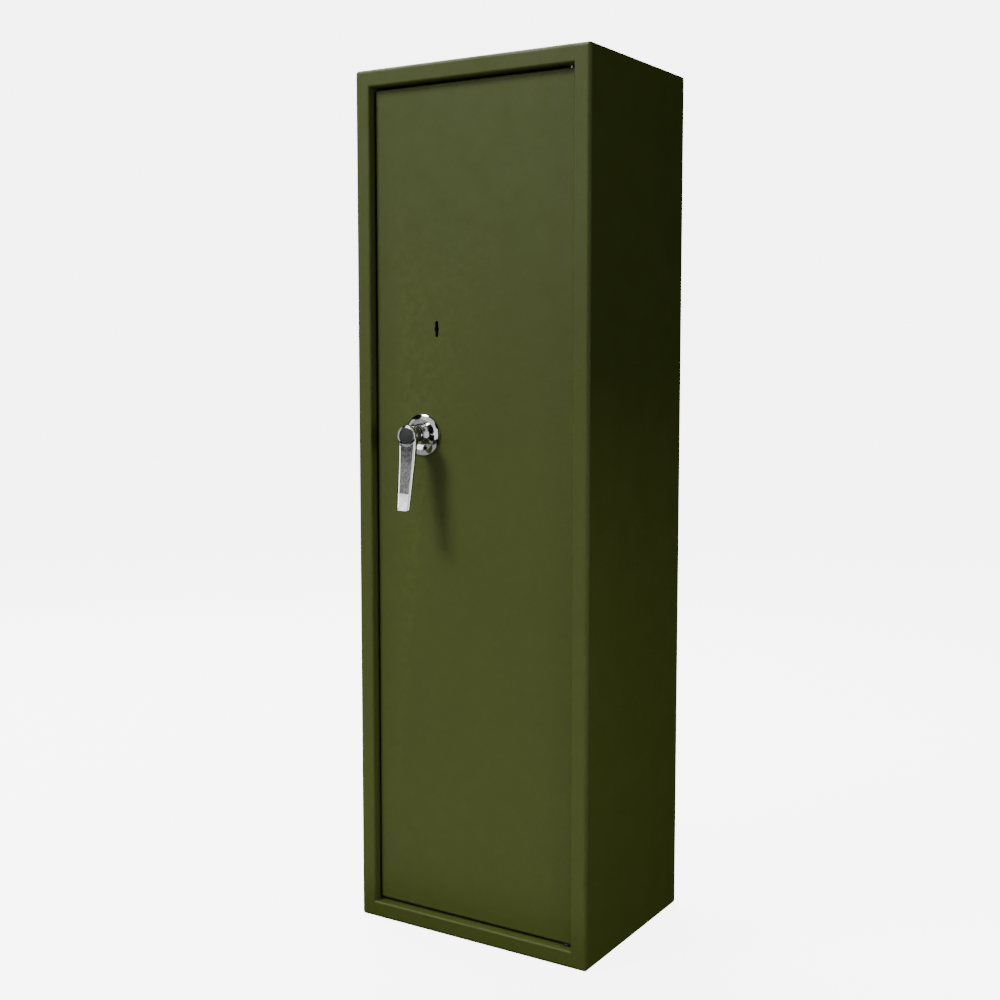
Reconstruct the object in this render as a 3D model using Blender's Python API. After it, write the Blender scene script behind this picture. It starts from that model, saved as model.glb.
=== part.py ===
"""A steel gun safe with one hinged door, a lever handle and a key lock.

All sizes are in millimetres and are turned into metres as each mesh is made. The origin is the
centre of the base's underside, +Z is up and the door faces -Y. At rest the door is shut, the
bolts are drawn in and the lever hangs straight down.
"""

import math

import bmesh
import bpy
from mathutils import Matrix, Vector

MM = 0.001
GAP = 0.3  # between pieces that touch

# Cabinet
WIDTH = 400.0
DEPTH = 300.0
HEIGHT = 1300.0
SHEET = 2.0
FLANGE = 26.0  # face of the frame around the door
RETURN_DEPTH = 30.0  # how far the frame turns back into the cabinet
CORNER_BEND = 6.0
LIP_BEND = 3.0

# Door
DOOR_PLATE = 3.0
DOOR_RECESS = 12.0
DOOR_FOLD = 18.0  # how far the door's edges turn back
DOOR_EDGE = 3.0
SIDE_CLEARANCE = 3.0
HINGE_CLEARANCE = 3.5
END_CLEARANCE = 4.0
HINGE_INSET = 13.0  # from the jamb's face to the hinge axis
HINGE_Y = -129.5
HINGE_PIN_R = 4.0
HINGE_HOLE_R = 4.4

# Handle and lock places on the door
HANDLE_X = -86.5
HANDLE_Z = 759.0
KEYHOLE_X = -61.5
KEYHOLE_Z = 915.5
KEYHOLE_HEIGHT = 23.2
KEYHOLE_WIDTH = 5.0
KEYHOLE_BULGE = 7.4

# Lever handle
LEVER_LENGTH = 109.0
HUB_R = 15.75
LEVER_TIP_HALF_WIDTH = 11.0
NECK_R = 14.0
ROSE_R = 31.0
HUB_STANDOFF = 32.0  # hub's front face ahead of the cabinet's front
LEVER_FLARE = 11.0  # how far the tip stands ahead of the hub
LEVER_TIP_R = 1.5
SPINDLE_R = 6.0

# Bolt work
BOLT_R = 8.0
BOLT_Y = -110.0
BOLT_HEIGHTS = (250.0, 650.0, 1050.0)
BOLT_TAIL_X = -123.0
CAM_R = 24.0
CAM_PIN_OFFSET = 8.0
CAM_PIN_R = 3.0
BOLT_THROW = 2 * CAM_PIN_OFFSET

# Lock
LOCK_CASE_BOTTOM = KEYHOLE_Z - 43.7
LOCK_CASE_TOP = KEYHOLE_Z + 38.3
LOCK_BOLT_BOTTOM = LOCK_CASE_TOP - 23.0
LOCK_BOLT_TOP = LOCK_CASE_TOP + 3.0
LOCK_TAB_BOTTOM = LOCK_CASE_TOP + 6.0

HALF_W = WIDTH / 2
HALF_D = DEPTH / 2
JAMB_X = HALF_W - FLANGE
HINGE_X = JAMB_X - HINGE_INSET
RETURN_Y = -HALF_D + RETURN_DEPTH
DOOR_LEFT = -JAMB_X + SIDE_CLEARANCE
DOOR_RIGHT = JAMB_X - HINGE_CLEARANCE
DOOR_BOTTOM = FLANGE + END_CLEARANCE
DOOR_TOP = HEIGHT - FLANGE - END_CLEARANCE
DOOR_FACE = -HALF_D + DOOR_RECESS
DOOR_BACK = DOOR_FACE + DOOR_PLATE
DOOR_REAR_EDGE = DOOR_FACE + DOOR_FOLD
FRAME_Y = DOOR_BACK + GAP  # front of everything fixed behind the door plate
GUIDE_LEFT = DOOR_LEFT + DOOR_PLATE + 4.0
GUIDE_RIGHT = GUIDE_LEFT + 22.0
BOLT_TIP_X = GUIDE_LEFT - 5.0
COVER_BACK = -95.7
COVER_SHEET = 1.0
COVER_FRONT = COVER_BACK - COVER_SHEET
HUB_FRONT = -HALF_D - HUB_STANDOFF
HUB_BACK = HUB_FRONT + 8.0
ROSE_FRONT = DOOR_FACE - 5.3

JOINT_AXES = {
    "door": (HINGE_X, HINGE_Y, 0.0),
    "handle": (HANDLE_X, DOOR_FACE, HANDLE_Z),
    "bolts": (BOLT_TAIL_X, BOLT_Y, BOLT_HEIGHTS[1]),
    "lock_bolt": (KEYHOLE_X, -124.0, LOCK_BOLT_BOTTOM),
}
AXIS_PARENTS = {"handle": "door", "bolts": "door", "lock_bolt": "door"}
axis_empties = {}


# ---------------------------------------------------------------- scene helpers


def clear_scene():
    for obj in list(bpy.data.objects):
        bpy.data.objects.remove(obj, do_unlink=True)


def make_joint_axes():
    """One empty on each joint's axis; the handle, bolts and lock bolt travel with the door."""
    for name, place in JOINT_AXES.items():
        empty = bpy.data.objects.new(name + "_axis", None)
        bpy.context.scene.collection.objects.link(empty)
        parent = AXIS_PARENTS.get(name)
        base = Vector(JOINT_AXES[parent]) if parent else Vector()
        empty.parent = axis_empties.get(parent)
        empty.location = (Vector(place) - base) * MM
        axis_empties[name] = empty


def make_material(name, colour, metallic, roughness):
    material = bpy.data.materials.new(name)
    material.use_nodes = True
    shader = material.node_tree.nodes["Principled BSDF"]
    shader.inputs["Base Color"].default_value = (*colour, 1.0)
    shader.inputs["Metallic"].default_value = metallic
    shader.inputs["Roughness"].default_value = roughness
    return material


def add_solid(name, mesh, material, body=None, round_piece=False):
    """Turns a bmesh in millimetres into a named object that hangs from its body's joint axis."""
    place = Vector(JOINT_AXES[body]) if body else Vector()
    bmesh.ops.translate(mesh, verts=mesh.verts, vec=-place)
    bmesh.ops.scale(mesh, verts=mesh.verts, vec=(MM, MM, MM))
    bmesh.ops.recalc_face_normals(mesh, faces=mesh.faces)
    data = bpy.data.meshes.new(name)
    mesh.to_mesh(data)
    mesh.free()
    if round_piece:
        data.shade_smooth()
        data.set_sharp_from_angle(angle=math.radians(35))
    data.materials.append(material)
    obj = bpy.data.objects.new(name, data)
    bpy.context.scene.collection.objects.link(obj)
    if body:
        obj.parent = axis_empties[body]
    return obj


def add_helper(obj, helper_mesh, operation):
    """Cuts the helper shape from an object, or joins it on, and hides the helper."""
    helper = add_solid(obj.name + "_helper", helper_mesh, obj.data.materials[0])
    helper.hide_render = True
    helper.display_type = "WIRE"
    modifier = obj.modifiers.new(operation.lower(), "BOOLEAN")
    modifier.operation = operation
    modifier.object = helper
    modifier.solver = "EXACT"


def cut(obj, helper_mesh):
    add_helper(obj, helper_mesh, "DIFFERENCE")


def join(obj, helper_mesh):
    add_helper(obj, helper_mesh, "UNION")


# ---------------------------------------------------------------- shapes, in millimetres


def box(low, high):
    mesh = bmesh.new()
    bmesh.ops.create_cube(mesh, size=1.0)
    size = [high[i] - low[i] for i in range(3)]
    centre = [(high[i] + low[i]) / 2 for i in range(3)]
    bmesh.ops.scale(mesh, verts=mesh.verts, vec=size)
    bmesh.ops.translate(mesh, verts=mesh.verts, vec=centre)
    return mesh


def along(axis, u, v, distance):
    """The point (u, v) of a plane square to the axis, at a distance along it."""
    if axis == "x":
        return (distance, u, v)
    if axis == "y":
        return (u, distance, v)
    return (u, v, distance)


def prism(outline, axis, start, end):
    """A closed outline pushed along an axis."""
    mesh = bmesh.new()
    near = [mesh.verts.new(along(axis, u, v, start)) for u, v in outline]
    far = [mesh.verts.new(along(axis, u, v, end)) for u, v in outline]
    mesh.faces.new(near)
    mesh.faces.new(far)
    for i in range(len(outline)):
        j = (i + 1) % len(outline)
        mesh.faces.new((near[i], near[j], far[j], far[i]))
    return mesh


def turned(profile, axis, centre, segments=32):
    """Turns (radius, distance) points about an axis. A profile off the axis gives a ring."""
    mesh = bmesh.new()
    rings = []
    for radius, distance in profile:
        count = segments if radius > 0 else 1
        ring = []
        for i in range(count):
            angle = 2 * math.pi * i / segments
            u = centre[0] + radius * math.cos(angle)
            v = centre[1] + radius * math.sin(angle)
            ring.append(mesh.verts.new(along(axis, u, v, distance)))
        rings.append(ring)
    pairs = list(zip(rings, rings[1:]))
    if profile[0][0] > 0:
        pairs.append((rings[-1], rings[0]))
    for first, second in pairs:
        for i in range(segments):
            j = (i + 1) % segments
            corners = [first[i % len(first)], first[j % len(first)]]
            corners += [second[j % len(second)], second[i % len(second)]]
            unique = list(dict.fromkeys(corners))
            if len(unique) > 2:
                mesh.faces.new(unique)
    return mesh


def rod(radius, axis, centre, start, end, segments=24):
    return turned([(0, start), (radius, start), (radius, end), (0, end)], axis, centre, segments)


def ring(outer, inner, axis, centre, start, end, segments=32):
    profile = [(inner, start), (outer, start), (outer, end), (inner, end)]
    return turned(profile, axis, centre, segments)


def folded_sheet(corners, thickness, bends, steps=4):
    """The outline of a sheet folded along its outer face; the metal lies to the left of the path."""
    points = [Vector(corner) for corner in corners]
    outer = []
    inner = []

    def place(point, normal):
        outer.append(tuple(point))
        inner.append(tuple(point + normal * thickness))

    for i, point in enumerate(points):
        if i in (0, len(points) - 1):
            step = points[1] - points[0] if i == 0 else points[-1] - points[-2]
            place(point, Vector((-step.y, step.x)).normalized())
            continue
        before = (point - points[i - 1]).normalized()
        after = (points[i + 1] - point).normalized()
        turn = math.atan2(before.x * after.y - before.y * after.x, before.dot(after))
        side = math.copysign(1, turn)
        normal = Vector((-before.y, before.x))
        bend = bends[i - 1]
        start = point - before * bend * math.tan(abs(turn) / 2)
        middle = start + normal * bend * side
        for k in range(steps + 1):
            turned_normal = Matrix.Rotation(turn * k / steps, 2) @ normal
            place(middle - turned_normal * bend * side, turned_normal)
    return outer + inner[::-1]


def keyhole_outline():
    """An upright slot with round ends and a round bulge at its middle."""
    slot = KEYHOLE_WIDTH / 2
    bulge = KEYHOLE_BULGE / 2
    straight = KEYHOLE_HEIGHT / 2 - slot
    meet = math.acos(slot / bulge)
    quarter = []
    for i in range(5):
        angle = meet * i / 4
        quarter.append((bulge * math.cos(angle), bulge * math.sin(angle)))
    for i in range(7):
        angle = math.pi / 2 * i / 6
        quarter.append((slot * math.cos(angle), straight + slot * math.sin(angle)))
    upper = quarter + [(-u, v) for u, v in quarter[-2::-1]]
    lower = [(u, -v) for u, v in upper[-2:0:-1]]
    return [(KEYHOLE_X + u, KEYHOLE_Z + v) for u, v in upper + lower]


# ---------------------------------------------------------------- cabinet

ANCHOR_HOLE_R = 5.0
BACK_ANCHORS = [(x, z) for x in (-120.0, 120.0) for z in (200.0, 1150.0)]
FLOOR_ANCHORS = [(-100.0, 60.0), (100.0, 60.0)]
SHELF_Z = 1080.0
REST_Z = 930.0
REST_NOTCHES = [-140.0, -70.0, 0.0, 70.0, 140.0]
NOTCH_R = 16.0


def make_side_panel(name, side, paint):
    """A wall with the front frame and the jamb folded into it."""
    corners = [(HALF_W, HALF_D), (HALF_W, -HALF_D), (JAMB_X, -HALF_D), (JAMB_X, RETURN_Y)]
    path = [(side * x, y) for x, y in corners]
    thickness = SHEET if side < 0 else -SHEET
    outline = folded_sheet(path, thickness, (CORNER_BEND, LIP_BEND))
    add_solid(name, prism(outline, "z", 0.0, HEIGHT), paint)


def make_end_panel(name, outer_z, direction, paint):
    """The roof or the floor: a sheet between the walls, with its strip of frame and jamb."""
    lip_z = outer_z + direction * FLANGE
    path = [(HALF_D - SHEET - GAP, outer_z), (-HALF_D, outer_z), (-HALF_D, lip_z), (RETURN_Y, lip_z)]
    thickness = SHEET if direction < 0 else -SHEET
    outline = folded_sheet(path, thickness, (CORNER_BEND, LIP_BEND))
    frame_x = JAMB_X - GAP
    wall_x = HALF_W - SHEET - GAP
    panel = add_solid(name, prism(outline, "x", -frame_x, frame_x), paint)
    low_z, high_z = sorted((outer_z, outer_z + direction * SHEET))
    front_y = -HALF_D + CORNER_BEND
    behind_jamb = RETURN_Y + GAP
    past_jamb = JAMB_X + SHEET + GAP
    ear = [(frame_x - 1.0, behind_jamb), (past_jamb, behind_jamb), (past_jamb, front_y)]
    ear += [(wall_x, front_y), (wall_x, path[0][0]), (frame_x - 1.0, path[0][0])]
    for side in (-1, 1):
        join(panel, prism([(side * x, y) for x, y in ear], "z", low_z, high_z))
    hole_z = sorted((lip_z + direction * 1.0, lip_z - direction * 4.0))
    cut(panel, rod(HINGE_HOLE_R, "z", (HINGE_X, HINGE_Y), *hole_z))
    return panel


def make_back_panel(paint):
    edge = HALF_W - SHEET - GAP
    panel = add_solid("back_panel", box((-edge, HALF_D - SHEET, 0), (edge, HALF_D, HEIGHT)), paint)
    for place in BACK_ANCHORS:
        cut(panel, rod(ANCHOR_HOLE_R, "y", place, HALF_D - SHEET - 1, HALF_D + 1))


def make_hinge_blocks(paint, nylon):
    """Blocks inside the roof and floor strips that carry the door's two pins."""
    low = (HINGE_X - 17.0, HINGE_Y - 17.0)
    high = (JAMB_X - 1.0, HINGE_Y + 8.0)
    spans = {
        "upper_hinge_block": (HEIGHT - FLANGE + SHEET + GAP, HEIGHT - FLANGE + 14.0),
        "lower_hinge_block": (FLANGE - 14.0, FLANGE - SHEET - GAP),
    }
    for name, (bottom, top) in spans.items():
        block = add_solid(name, box((*low, bottom), (*high, top)), paint)
        cut(block, rod(HINGE_HOLE_R, "z", (HINGE_X, HINGE_Y), bottom - 1, top + 1))
    washer = ring(9.0, HINGE_HOLE_R, "z", (HINGE_X, HINGE_Y), FLANGE + GAP, DOOR_BOTTOM - GAP)
    add_solid("hinge_thrust_washer", washer, nylon, round_piece=True)


def make_anchor_plugs(plastic):
    """Plastic plugs in the unused anchor holes, their heads inside the cabinet."""
    inner = HALF_D - SHEET - GAP
    shank = ANCHOR_HOLE_R - GAP
    for i, place in enumerate(BACK_ANCHORS):
        profile = [(0, inner - 1.8), (7.5, inner - 1.2), (7.5, inner), (shank, inner)]
        profile += [(shank, HALF_D - 0.1), (0, HALF_D - 0.1)]
        add_solid(f"back_anchor_plug_{i + 1}", turned(profile, "y", place, 20), plastic, round_piece=True)
    inner = SHEET + GAP
    for i, place in enumerate(FLOOR_ANCHORS):
        profile = [(0, 0.4), (shank, 0.4), (shank, inner), (7.5, inner)]
        profile += [(7.5, inner + 1.2), (0, inner + 1.8)]
        add_solid(f"floor_anchor_plug_{i + 1}", turned(profile, "z", place, 20), plastic, round_piece=True)


def make_barrel_rest(paint, foam, zinc):
    """A notched ledge on the back wall that the barrels lean in, with a foam comb on top."""
    back_y = HALF_D - SHEET - GAP
    front_y = 88.0
    half_width = 185.0
    path = [(back_y, REST_Z - 35.0), (back_y, REST_Z + SHEET), (front_y, REST_Z + SHEET)]
    outline = folded_sheet(path, SHEET, (3.0,))
    ledge = add_solid("barrel_rest", prism(outline, "x", -half_width, half_width), paint)
    foam_low = (-half_width, front_y, REST_Z + SHEET + GAP)
    foam_high = (half_width, back_y - 4.0, REST_Z + SHEET + 15.0)
    pad = add_solid("barrel_rest_foam", box(foam_low, foam_high), foam)
    for x in REST_NOTCHES:
        notch = [(x - NOTCH_R, front_y - 5.0)]
        for i in range(9):
            angle = math.pi * i / 8
            notch.append((x - NOTCH_R * math.cos(angle), front_y + 16.0 + NOTCH_R * math.sin(angle)))
        notch.append((x + NOTCH_R, front_y - 5.0))
        cut(ledge, prism(notch, "z", REST_Z - 5.0, REST_Z + 20.0))
        cut(pad, prism(notch, "z", REST_Z - 5.0, REST_Z + 20.0))
    for i, x in enumerate((-105.0, 105.0)):
        ledge_face = back_y - SHEET - GAP
        profile = [(0, ledge_face - 2.2), (3.0, ledge_face - 2.0), (4.5, ledge_face), (0, ledge_face)]
        screw = turned(profile, "y", (x, REST_Z - 20.0), 20)
        add_solid(f"barrel_rest_screw_{i + 1}", screw, zinc, round_piece=True)


def make_shelf(paint):
    """A top shelf with folded lips, resting on an angle at each side wall."""
    sheet = 1.5
    edge_x = HALF_W - SHEET - 2.0
    front_y = -80.0
    back_y = HALF_D - SHEET - 1.0
    path = [(back_y, SHELF_Z - 12.0), (back_y, SHELF_Z), (front_y, SHELF_Z), (front_y, SHELF_Z - 18.0)]
    outline = folded_sheet(path, sheet, (2.5, 2.5))
    add_solid("top_shelf", prism(outline, "x", -edge_x, edge_x), paint)
    for name, side in (("left_shelf_bracket", -1), ("right_shelf_bracket", 1)):
        wall = side * (HALF_W - SHEET - GAP)
        top = SHELF_Z - sheet - GAP
        path = [(wall, top - 16.0), (wall, top), (wall - side * 16.0, top)]
        outline = folded_sheet(path, 1.5 * side, (2.5,))
        add_solid(name, prism(outline, "y", front_y + 8.0, back_y - 8.0), paint)


def make_floor_mat(felt):
    edge_x = HALF_W - SHEET - 4.0
    mat = add_solid("floor_mat", box((-edge_x, -116.0, SHEET + GAP), (edge_x, 142.0, 7.5)), felt)
    for place in FLOOR_ANCHORS:
        cut(mat, rod(9.0, "z", place, 0.0, 10.0))


# ---------------------------------------------------------------- door


def make_door_skin(paint):
    """A plate with all four edges turned back, cut for the key, the handle and the hinge pins."""
    mesh = box((DOOR_LEFT, DOOR_FACE, DOOR_BOTTOM), (DOOR_RIGHT, DOOR_REAR_EDGE, DOOR_TOP))
    front = [e for e in mesh.edges if all(abs(v.co.y - DOOR_FACE) < GAP for v in e.verts)]
    bmesh.ops.bevel(mesh, geom=front, offset=DOOR_EDGE, segments=4, profile=0.5, affect="EDGES")
    skin = add_solid("door_skin", mesh, paint, "door")
    hollow_low = (DOOR_LEFT + DOOR_PLATE, DOOR_BACK, DOOR_BOTTOM + DOOR_PLATE)
    hollow_high = (DOOR_RIGHT - DOOR_PLATE, DOOR_REAR_EDGE + 1.0, DOOR_TOP - DOOR_PLATE)
    cut(skin, box(hollow_low, hollow_high))
    cut(skin, prism(keyhole_outline(), "y", DOOR_FACE - 1, DOOR_BACK + 1))
    cut(skin, rod(10.0, "y", (HANDLE_X, HANDLE_Z), DOOR_FACE - 1, DOOR_BACK + 1, 28))
    for z in (DOOR_BOTTOM, DOOR_TOP):
        cut(skin, rod(HINGE_PIN_R + GAP, "z", (HINGE_X, HINGE_Y), z - 4.0, z + 4.0))


def make_bolt_guide(zinc):
    """A full-height channel whose two walls guide the side bolts."""
    rear = COVER_FRONT - GAP
    path = [(GUIDE_LEFT, rear), (GUIDE_LEFT, FRAME_Y), (GUIDE_RIGHT, FRAME_Y), (GUIDE_RIGHT, rear)]
    outline = folded_sheet(path, SHEET, (3.0, 3.0))
    guide = add_solid("bolt_guide_channel", prism(outline, "z", 65.0, 1235.0), zinc, "door")
    for z in BOLT_HEIGHTS:
        cut(guide, rod(BOLT_R + 0.5, "x", (BOLT_Y, z), GUIDE_LEFT - 2.0, GUIDE_RIGHT + 2.0))


def make_dead_bar(zinc):
    """A fixed bar on the hinge side that hooks behind the jamb while the door is shut."""
    foot = HINGE_X - 15.0
    path = [(foot, FRAME_Y), (foot, -115.0), (JAMB_X + 10.0, -115.0)]
    outline = folded_sheet(path, -3.0, (5.0,))
    add_solid("hinge_dead_bar", prism(outline, "z", 70.0, 1230.0), zinc, "door")


def make_stiffener(zinc):
    """A flat-topped rib down the middle of the door."""
    top = -112.0
    path = [(5.0, FRAME_Y), (20.0, FRAME_Y), (28.0, top), (72.0, top), (80.0, FRAME_Y), (95.0, FRAME_Y)]
    outline = folded_sheet(path, 1.5, (3.0, 3.0, 3.0, 3.0), steps=2)
    add_solid("door_stiffener", prism(outline, "z", 70.0, 1230.0), zinc, "door")


def make_door_pins(zinc, steel):
    """The two hinge pins and the blocks inside the door that hold them."""
    low = (HINGE_X - 10.0, HINGE_Y - 5.0)
    high = (HINGE_X + 6.0, HINGE_Y + 9.0)
    fold = DOOR_PLATE + GAP
    carriers = {
        "lower": (DOOR_BOTTOM + fold, DOOR_BOTTOM + 20.0),
        "upper": (DOOR_TOP - 20.0, DOOR_TOP - fold),
    }
    pins = {
        "lower": (FLANGE - 12.0, DOOR_BOTTOM + 18.0),
        "upper": (DOOR_TOP - 18.0, HEIGHT - FLANGE + 12.0),
    }
    for end, (bottom, top) in carriers.items():
        block = add_solid(end + "_pin_carrier", box((*low, bottom), (*high, top)), zinc, "door")
        cut(block, rod(HINGE_PIN_R + GAP, "z", (HINGE_X, HINGE_Y), bottom - 1, top + 1))
        pin = rod(HINGE_PIN_R, "z", (HINGE_X, HINGE_Y), *pins[end])
        add_solid(end + "_hinge_pin", pin, steel, "door", round_piece=True)


POST_PLACES = [(x, z) for x in (-100.0, 110.0) for z in (110.0, 1190.0)]


def make_mechanism_cover(paint, zinc):
    """The rear cover over the bolt work, screwed to four posts."""
    right = 140.0
    bottom, top = 60.0, 1240.0
    pan = box((GUIDE_LEFT, FRAME_Y, bottom), (right, COVER_BACK, top))
    cover = add_solid("mechanism_cover", pan, paint, "door")
    hollow_low = (GUIDE_LEFT - 1.0, FRAME_Y - 1.0, bottom + COVER_SHEET)
    hollow_high = (right - COVER_SHEET, COVER_FRONT, top - COVER_SHEET)
    cut(cover, box(hollow_low, hollow_high))
    for i, place in enumerate(POST_PLACES):
        cut(cover, rod(2.2, "y", place, COVER_FRONT - 1, COVER_BACK + 1, 16))
        end = COVER_FRONT - GAP
        profile = [(0, FRAME_Y), (5.0, FRAME_Y), (5.0, end), (2.2, end), (2.2, end - 9.0), (0, end - 9.0)]
        post = turned(profile, "y", place, 16)
        add_solid(f"cover_post_{i + 1}", post, zinc, "door", round_piece=True)
        head = COVER_BACK + GAP
        profile = [(0, head + 2.0), (2.6, head + 1.8), (4.2, head), (1.9, head)]
        profile += [(1.9, end - 7.0), (0, end - 7.0)]
        screw = turned(profile, "y", place, 16)
        add_solid(f"cover_screw_{i + 1}", screw, zinc, "door", round_piece=True)


def make_lock(zinc, steel):
    """The key lock's case and lid, and the bolt that rises into the bolt bar's tab."""
    left, right = -94.0, -31.0
    bottom, top = LOCK_CASE_BOTTOM, LOCK_CASE_TOP
    wall = 1.5
    rear = -117.0
    case = add_solid("lock_case", box((left, FRAME_Y, bottom), (right, rear, top)), zinc, "door")
    hollow_low = (left + wall, FRAME_Y + wall, bottom + wall)
    cut(case, box(hollow_low, (right - wall, rear + 1.0, top - wall)))
    cut(case, prism(keyhole_outline(), "y", FRAME_Y - 1, FRAME_Y + wall + 1))
    bolt_low = (KEYHOLE_X - 5.0, -127.0, LOCK_BOLT_BOTTOM)
    bolt_high = (KEYHOLE_X + 5.0, -121.0, LOCK_BOLT_TOP)
    slot_low = (bolt_low[0] - 0.5, bolt_low[1] - 0.5, top - 3.0)
    cut(case, box(slot_low, (bolt_high[0] + 0.5, bolt_high[1] + 0.5, top + 1.0)))
    lid = box((left, rear + GAP, bottom), (right, rear + GAP + wall, top))
    add_solid("lock_cover", lid, zinc, "door")
    add_solid("lock_bolt", box(bolt_low, bolt_high), steel, "lock_bolt")


# ---------------------------------------------------------------- handle


def lever_half_width(drop):
    """Half the lever's width at a distance below its axis, from the hub's top to the round tip."""
    taper = HUB_R - (HUB_R - LEVER_TIP_HALF_WIDTH) * max(drop, 0) / LEVER_LENGTH
    if drop < 0:
        return math.sqrt(max(HUB_R**2 - drop**2, 1.0))
    into_tip = drop - (LEVER_LENGTH - LEVER_TIP_R)
    if into_tip > 0:
        return taper - LEVER_TIP_R + math.sqrt(max(LEVER_TIP_R**2 - into_tip**2, 0.0))
    return taper


def lever_front(drop):
    """The front face's Y: flat at the hub, then leaning outwards, a little more towards the tip."""
    reach = max(drop - HUB_R, 0) / (LEVER_LENGTH - HUB_R)
    return HUB_FRONT - LEVER_FLARE * (0.6 * reach + 0.4 * reach**2)


def lever_thickness(drop):
    return 8.0 - 3.0 * max(drop, 0) / LEVER_LENGTH


def lever_arm():
    """Rectangular sections joined down the length of the lever."""
    hub = [-HUB_R * math.cos(math.pi / 2 * i / 6) for i in range(6)]
    straight = LEVER_LENGTH - LEVER_TIP_R
    arm = [straight * i / 11 for i in range(12)]
    tip = [straight + LEVER_TIP_R * math.sin(math.pi / 2 * i / 3) for i in range(1, 4)]
    mesh = bmesh.new()
    sections = []
    for drop in hub + arm + tip:
        half = lever_half_width(drop)
        front = lever_front(drop)
        back = front + lever_thickness(drop)
        corners = [(-half, front), (half, front), (half, back), (-half, back)]
        z = HANDLE_Z - drop
        sections.append([mesh.verts.new((HANDLE_X + x, y, z)) for x, y in corners])
    for upper, lower in zip(sections, sections[1:]):
        for i in range(4):
            j = (i + 1) % 4
            mesh.faces.new((upper[i], upper[j], lower[j], lower[i]))
    mesh.faces.new(sections[0])
    mesh.faces.new(sections[-1])
    return mesh


def make_handle(chrome, dark, steel, zinc):
    """Everything that turns with the lever, down to the cam that drives the bolts."""
    centre = (HANDLE_X, HANDLE_Z)
    neck_end = DOOR_FACE - 1.0
    lever = add_solid("handle_lever", lever_arm(), chrome, "handle")
    join(lever, rod(NECK_R, "y", centre, HUB_BACK - 1.0, neck_end, 32))
    cut(lever, rod(SPINDLE_R + GAP, "y", centre, neck_end - 21.0, neck_end + 1.0))
    cut(lever, rod(12.7, "y", centre, HUB_FRONT - 1.0, HUB_FRONT + 1.5, 32))
    cap = rod(12.4, "y", centre, HUB_FRONT + 0.1, HUB_FRONT + 1.2, 32)
    add_solid("handle_cap", cap, dark, "handle", round_piece=True)

    cam_front = -122.0
    cam_back = -117.0
    profile = [(0, neck_end - 20.7), (SPINDLE_R, neck_end - 20.7), (SPINDLE_R, cam_back)]
    profile += [(2.8, cam_back), (2.8, cam_back - 12.0), (0, cam_back - 12.0)]
    add_solid("spindle", turned(profile, "y", centre, 24), steel, "handle", round_piece=True)
    disc = ring(CAM_R, SPINDLE_R + GAP, "y", centre, cam_front, cam_back)
    cam = add_solid("cam_disc", disc, zinc, "handle", round_piece=True)
    pin_place = (HANDLE_X + CAM_PIN_OFFSET, HANDLE_Z + CAM_PIN_OFFSET)
    cut(cam, rod(CAM_PIN_R + GAP, "y", pin_place, cam_front - 1, cam_back + 1, 16))
    pin = rod(CAM_PIN_R, "y", pin_place, cam_front, -107.0, 16)
    add_solid("cam_drive_pin", pin, steel, "handle", round_piece=True)
    head = cam_back + GAP
    profile = [(0, cam_back - 10.0), (2.4, cam_back - 10.0), (2.4, head), (7.5, head)]
    profile += [(7.5, head + 2.2), (0, head + 3.0)]
    add_solid("cam_screw", turned(profile, "y", centre, 20), zinc, "handle", round_piece=True)


def make_handle_fixings(chrome, zinc):
    """The rose on the door's face, and the bush and nut that carry the spindle."""
    centre = (HANDLE_X, HANDLE_Z)
    seat = DOOR_FACE - GAP
    hole = NECK_R + 0.4
    profile = [(hole, seat), (ROSE_R, seat), (ROSE_R, ROSE_FRONT + 1.5), (ROSE_R - 1.5, ROSE_FRONT)]
    profile += [(24.5, ROSE_FRONT), (23.5, ROSE_FRONT + 1.5), (hole, ROSE_FRONT + 1.5)]
    add_solid("handle_rose", turned(profile, "y", centre, 40), chrome, "door", round_piece=True)

    thread_r = 9.7
    bush_end = -126.0
    flange = FRAME_Y + 2.0
    bore = SPINDLE_R + 0.1
    profile = [(bore, seat), (thread_r, seat), (thread_r, FRAME_Y), (13.0, FRAME_Y), (13.0, flange)]
    profile += [(thread_r, flange), (thread_r, bush_end), (bore, bush_end)]
    add_solid("handle_bush", turned(profile, "y", centre, 24), zinc, "door", round_piece=True)
    nut_outer = []
    for i in range(6):
        angle = math.pi / 3 * i
        nut_outer.append((HANDLE_X + 15.0 * math.cos(angle), HANDLE_Z + 15.0 * math.sin(angle)))
    nut = add_solid("handle_nut", prism(nut_outer, "y", flange + GAP, flange + 5.0), zinc, "door")
    cut(nut, rod(thread_r + GAP, "y", centre, flange, flange + 6.0))


# ---------------------------------------------------------------- bolt work


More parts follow.
